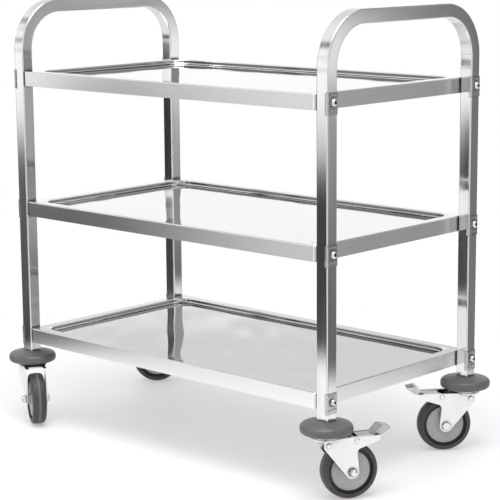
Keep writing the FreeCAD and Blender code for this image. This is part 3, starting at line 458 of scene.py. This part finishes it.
def moulded(name, dark, light, gloss, grain_scale, grain_depth):
    """Moulded rubber or plastic: a fine even grain with faint flow marks."""
    nodes = Finish(name, light, 0, gloss)
    grain = nodes.noise(grain_scale, 2)
    flow = nodes.noise(35, 3, None, 0.7)
    nodes.colour(nodes.blend(nodes.between(flow, 0.3, 0.75), dark, light))
    nodes.roughness(nodes.between(flow, 0.25, 0.75, gloss - 0.05, gloss + 0.08))
    nodes.normal(nodes.bump(grain, 0.25, grain_depth))
    return nodes.material


def worn_tyre():
    """Dark rubber with a paler scuffed band round the middle of the tread."""
    nodes = Finish("worn_tyre", (0.05, 0.05, 0.052), 0, 0.55)
    x, y, z = nodes.axes()
    radius = nodes.span(x, y)
    scuff = nodes.noise(1, 4, nodes.stretch((260, 260, 900)))
    fray = nodes.math("MULTIPLY", scuff, BAND_FRAY)
    edge = nodes.math("ADD", nodes.math("ABSOLUTE", z), fray)
    band = nodes.math("MULTIPLY", nodes.between(edge, *BAND_EDGE, 1.0, 0.0),
                      nodes.between(radius, TREAD - 0.001, TREAD - 0.0005))
    flow = nodes.noise(45, 3, None, 0.7)
    shade = nodes.between(flow, 0.3, 0.75)
    wall = nodes.blend(shade, (0.035, 0.035, 0.037), (0.052, 0.052, 0.054))
    # Painted shade: the recessed bead and groove inside GROOVE_END are painted near-black.
    rubber = nodes.blend(nodes.between(radius, *GROOVE_END), (0.012, 0.012, 0.012), wall)
    worn = nodes.blend(scuff, (0.08, 0.08, 0.082), (0.16, 0.16, 0.16))
    nodes.colour(nodes.blend(band, rubber, worn))
    nodes.roughness(nodes.math("ADD", nodes.between(flow, 0.25, 0.75, 0.42, 0.56),
                               nodes.math("MULTIPLY", band, 0.2)))
    nodes.normal(nodes.bump(nodes.noise(1100, 2), 0.2, 0.0002, nodes.bump(scuff, 0.1, 0.0003)))
    return nodes.material


# The look of each material slot.
LOOKS = {
    "frame_steel": tube_steel(),
    "tray_steel": tray_sheet(),
    "clip_steel": pressed_steel(),
    "bolt_steel": bright_bolt(),
    "plate_steel": plain_steel(),
    "zinc": bright_zinc(),
    "pedal_steel": satin_zinc(),
    "spring_steel": spring_steel(),
    "bumper_grey": moulded(
        "bumper_rubber", (0.09, 0.09, 0.093), (0.115, 0.115, 0.118), 0.36, 1400, 0.0002),
    "socket_plastic": moulded(
        "socket_plastic", (0.02, 0.02, 0.02), (0.035, 0.035, 0.035), 0.45, 900, 0.0002),
    "seal_black": moulded(
        "seal_rubber", (0.012, 0.012, 0.012), (0.02, 0.02, 0.02), 0.5, 900, 0.0002),
    "tyre_grey": worn_tyre(),
    "core_grey": moulded(
        "core_plastic", (0.34, 0.34, 0.345), (0.39, 0.39, 0.395), 0.42, 1200, 0.0001),
}


def new_piece(name, data, slot):
    """An object for a finished mesh, linked to the scene with the look of its slot."""
    piece = bpy.data.objects.new(name, data)
    bpy.context.scene.collection.objects.link(piece)
    piece.data.materials.append(LOOKS[slot])
    return piece


# ---------------------------------------------------------------------- frames
# A frame is one square tube swept up a leg, over the handle and down the other leg.


def square_section(half, corner):
    """Points round a rounded square, each with its outward direction."""
    points = []
    for quarter, (x, y) in enumerate(((1, 1), (-1, 1), (-1, -1), (1, -1))):
        for i in range(CORNER_STEPS + 1):
            turn = math.radians(90 * (quarter + i / CORNER_STEPS))
            out = Vector((math.cos(turn), math.sin(turn)))
            points.append((Vector((x, y)) * (half - corner) + corner * out, out))
    return points


def tube_stations():
    """Places along the tube's centre line in the YZ plane, each with the way out of the arch."""
    stations = [(Vector((-BEND_Y - BEND_RADIUS, FRAME_LOW.z)), Vector((-1, 0)))]
    for side, first in ((-1, 180), (1, 90)):
        for i in range(BEND_STEPS + 1):
            turn = math.radians(first - 90 * i / BEND_STEPS)
            out = Vector((math.cos(turn), math.sin(turn)))
            stations.append((Vector((side * BEND_Y, BEND_Z)) + BEND_RADIUS * out, out))
    stations.append((Vector((BEND_Y + BEND_RADIUS, FRAME_LOW.z)), Vector((1, 0))))
    return stations


def swept_skin(mesh, middle_x, section, inward=False):
    """Sweeps a section along the stations. Returns its rings of vertices and their normals."""
    rings, normals = [], {}
    for centre, out in tube_stations():
        ring = []
        for (a, b), (na, nb) in section:
            place = centre + b * out
            vertex = mesh.verts.new((middle_x + a, place.x, place.y))
            normals[vertex] = Vector((na, nb * out.x, nb * out.y)) * (-1 if inward else 1)
            ring.append(vertex)
        rings.append(ring)
    for ring, following in zip(rings, rings[1:]):
        for i in range(len(ring)):
            corners = (ring[i], ring[i - 1], following[i - 1], following[i])
            mesh.faces.new(corners[::-1] if inward else corners)
    return rings, normals


def swept_frame(name, node):
    """A hollow tube with its two cut ends, shaded by its true normals."""
    low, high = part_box(node)
    middle_x = (low.x + high.x) / 2
    mesh = bmesh.new()
    outer, normals = swept_skin(mesh, middle_x, square_section(TUBE / 2, TUBE_CORNER))
    bore = square_section(TUBE / 2 - TUBE_WALL, TUBE_CORNER - TUBE_WALL)
    inner, bore_normals = swept_skin(mesh, middle_x, bore, inward=True)
    normals.update(bore_normals)
    for end in (0, -1):
        rims = []
        for ring in (outer[end], inner[end]):
            rims.append([mesh.verts.new(vertex.co) for vertex in ring])
        normals.update({vertex: Vector((0, 0, -1)) for rim in rims for vertex in rim})
        for i in range(len(rims[0])):
            corners = (rims[0][i], rims[0][i - 1], rims[1][i - 1], rims[1][i])
            mesh.faces.new(corners if end else corners[::-1])
    mesh.verts.index_update()
    shading = [tuple(normals[vertex]) for vertex in mesh.verts]
    data = bpy.data.meshes.new(name)
    mesh.to_mesh(data)
    mesh.free()
    data.shade_smooth()
    data.normals_split_custom_set_from_vertices(shading)
    piece = new_piece(name, data, "frame_steel")
    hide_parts(node)
    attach(piece, "frame")


def frames():
    for side in ("left", "right"):
        swept_frame(f"{side}_swept_frame", f"{side}_frame")


# ---------------------------------------------------------------------- wheels
# A wheel is drawn about its own Z axis, and then laid on the axle of its castor.


def arc(middle, radius, start, end, steps):
    """Points of an arc in an outline, from one angle to another."""
    turns = (math.radians(start + (end - start) * i / steps) for i in range(steps + 1))
    return [(middle[0] + radius * math.cos(turn), middle[1] + radius * math.sin(turn))
            for turn in turns]


def both_sides(half):
    """A closed outline from its half above the middle, mirrored below it."""
    return half + [(r, -h) for r, h in reversed(half)]


def tyre_outline():
    """Bead, groove, side wall with a raised ring, round shoulder, and a flat band in the middle."""
    side = TYRE_HALF
    bead = [(CORE_RIM, BEAD_HALF), (0.0388, BEAD_HALF), (0.0397, 0.0093)]
    wall = [(0.0402, side - 0.0008), (0.0409, side), (0.0425, side), (0.0431, side - 0.0005),
            (0.0442, side - 0.0006)]
    shoulder = arc((TREAD - 0.0058, side - 0.0057), SHOULDER_RADIUS, 80, 8, 10)
    tread = [(TREAD - 0.0003, 0.0042), (TREAD - 0.0002, 0.0034), (TREAD, 0.0031)]
    return both_sides(bead + wall + shoulder + tread)


def core_outline():
    """Rolled edge, shallow dish with a step, and the hub that runs out to the fork."""
    middle = (CORE_RIM - CORE_EDGE_RADIUS, CORE_HALF - CORE_EDGE_RADIUS)
    edge = arc(middle, CORE_EDGE_RADIUS, 0, 90, 5)
    dish = [(0.0318, CORE_HALF), (0.0312, CORE_HALF - 0.0007), (0.0180, CORE_HALF - 0.0010),
            (0.0172, CORE_HALF - 0.0004)]
    hub = arc((HUB_FOOT, CORE_HALF + HUB_FILLET_RADIUS), HUB_FILLET_RADIUS, 270, 190, 5)
    nose = [(0.0102, HUB_HALF - 0.0008), (0.0094, HUB_HALF), (HUB_BORE, HUB_HALF)]
    return both_sides(edge + dish + hub + nose)


def lathe(name, outline, slot):
    """A ring turned from a closed outline of (radius, height) points about Z."""
    mesh = bmesh.new()
    rings = []
    for i in range(LATHE_STEPS):
        turn = 2 * math.pi * i / LATHE_STEPS
        rings.append([mesh.verts.new((r * math.cos(turn), r * math.sin(turn), h))
                      for r, h in outline])
    for ring, following in zip(rings, rings[1:] + rings[:1]):
        for i in range(len(outline)):
            mesh.faces.new((ring[i], following[i], following[i - 1], ring[i - 1]))
    bmesh.ops.recalc_face_normals(mesh, faces=mesh.faces)
    data = bpy.data.meshes.new(name)
    mesh.to_mesh(data)
    mesh.free()
    data.shade_smooth()
    data.set_sharp_from_angle(angle=math.radians(SHARP_ANGLE))
    return new_piece(name, data, slot)


def wheels():
    """A detailed tyre and wheel core on every axle, in place of the CAD rings."""
    for joint in frame["record"]["behaviour"]["joints"]:
        if not joint["name"].startswith("roll_"):
            continue
        castor = joint["name"].removeprefix("roll_")
        axle, upright = Vector(joint["axis"]), Vector((0, 0, 1))
        turn = Matrix((upright, axle.cross(upright), axle)).transposed()
        made = ((f"{castor}_worn_tyre", tyre_outline(), "tyre_grey", f"{castor}_tyre"),
                (f"{castor}_dished_core", core_outline(), "core_grey", f"{castor}_wheel_core"))
        for name, outline, slot, node in made:
            piece = lathe(name, outline, slot)
            piece.matrix_world = Matrix.Translation(joint["pos_m"]) @ turn.to_4x4()
            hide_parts(node)
            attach(piece, joint["child"])


def dress_frame():
    """Gives every CAD node the look of its material slot."""
    for part in frame["record"]["subparts"]:
        node = frame["nodes"][part["node"]]
        node.data.materials.clear()
        node.data.materials.append(LOOKS[part["material_slot"]])


# ---------------------------------------------------------------------- studio


def camera():
    turn, tilt, roll = (math.radians(a) for a in (CAMERA_TURN, CAMERA_TILT, CAMERA_ROLL))
    level = Vector((math.cos(turn), -math.sin(turn), 0))
    ahead = Vector((math.sin(turn) * math.cos(tilt), math.cos(turn) * math.cos(tilt),
                    -math.sin(tilt)))
    upright = level.cross(ahead)
    right = math.cos(roll) * level + math.sin(roll) * upright
    up = math.cos(roll) * upright - math.sin(roll) * level
    data = bpy.data.cameras.new("camera")
    data.lens = CAMERA_LENS
    obj = bpy.data.objects.new("camera", data)
    axes = Matrix((right, up, -ahead)).transposed()
    obj.matrix_world = Matrix.Translation(CAMERA_PLACE) @ axes.to_4x4()
    bpy.context.scene.collection.objects.link(obj)
    bpy.context.scene.camera = obj


def floor():
    """A pale disc with a faint glow. It fades out at its edge into the white studio."""
    edge = FLOOR_RADIUS + FLOOR_FADE
    bpy.ops.mesh.primitive_circle_add(vertices=FLOOR_STEPS, radius=edge, fill_type="NGON")
    disc = bpy.context.object
    disc.name = "floor"
    nodes = Finish("floor_white", (0.6, 0.6, 0.6), 0, 0.6)
    nodes.shader.inputs["Emission Color"].default_value = (1, 1, 1, 1)
    nodes.shader.inputs["Emission Strength"].default_value = FLOOR_GLOW
    nodes.colour(nodes.blend(nodes.noise(6, 3), (0.58, 0.58, 0.58), (0.62, 0.62, 0.62)))
    length = nodes.add("ShaderNodeVectorMath", operation="LENGTH")
    nodes.feed(length.inputs[0], nodes.place)
    fade = nodes.between(length.outputs["Value"], FLOOR_RADIUS, edge, 1.0, 0.0)
    nodes.feed(nodes.shader.inputs["Alpha"], fade)
    disc.data.materials.append(nodes.material)


def toward(turn, height):
    """The unit vector in a direction given by its turn from +X and its height."""
    turn, height = math.radians(turn), math.radians(height)
    level = math.cos(height)
    return Vector((math.cos(turn) * level, math.sin(turn) * level, math.sin(height)))


def world():
    """The studio seen in reflections: bright walls, dark gaps and panels. The camera sees white."""
    made = bpy.data.worlds.new("studio")
    made.use_nodes = True
    nodes = Nodes(made.node_tree)
    direction = nodes.add("ShaderNodeTexCoord").outputs["Generated"]
    height = nodes.math("MULTIPLY_ADD", nodes.axes(direction)[2], 0.5, 0.5)
    ahead, across = toward(FRONT_TURN, 0), toward(FRONT_TURN + 90, 0)
    front, rear, back, side = (
        nodes.ramp(height, sky) for sky in (FRONT_SKY, REAR_SKY, BACK_SKY, SIDE_SKY))
    ahead_share = nodes.between(nodes.dot(direction, ahead), *SKY_BLEND)
    across_share = nodes.between(nodes.dot(direction, across), *SKY_BLEND)
    along_front = nodes.blend(ahead_share, rear, front)
    along_back = nodes.blend(across_share, back, side)
    sideways = nodes.math("ABSOLUTE", nodes.dot(direction, across))
    studio = nodes.blend(nodes.between(sideways, *SIDE_BLEND), along_front, along_back)
    for turn, rise, inner, outer, bright in PANELS:
        near = nodes.dot(direction, toward(turn, rise))
        share = nodes.between(near, math.cos(math.radians(outer)), math.cos(math.radians(inner)))
        studio = nodes.blend(share, studio, (bright, bright, bright))
    seen = nodes.add("ShaderNodeLightPath").outputs["Is Camera Ray"]
    shown = nodes.blend(seen, studio, (1.0, 1.0, 1.0))
    nodes.feed(nodes.tree.nodes["Background"].inputs["Color"], shown)
    bpy.context.scene.world = made


def lamp():
    data = bpy.data.lights.new("overhead", "AREA")
    data.shape = "RECTANGLE"
    data.size, data.size_y = LAMP_SIZE
    data.energy = LAMP_POWER
    obj = bpy.data.objects.new("overhead", data)
    obj.location = LAMP_PLACE
    aim = Vector(LAMP_TARGET) - Vector(LAMP_PLACE)
    obj.rotation_euler = aim.to_track_quat("-Z", "Y").to_euler()
    bpy.context.scene.collection.objects.link(obj)


def studio():
    world()
    floor()
    lamp()
    bpy.context.scene.view_settings.view_transform = "Standard"


# ---------------------------------------------------------------------- making

dress_frame()
frames()
wheels()
camera()
studio()


def corners(box):
    return [list(corner) for corner in box]
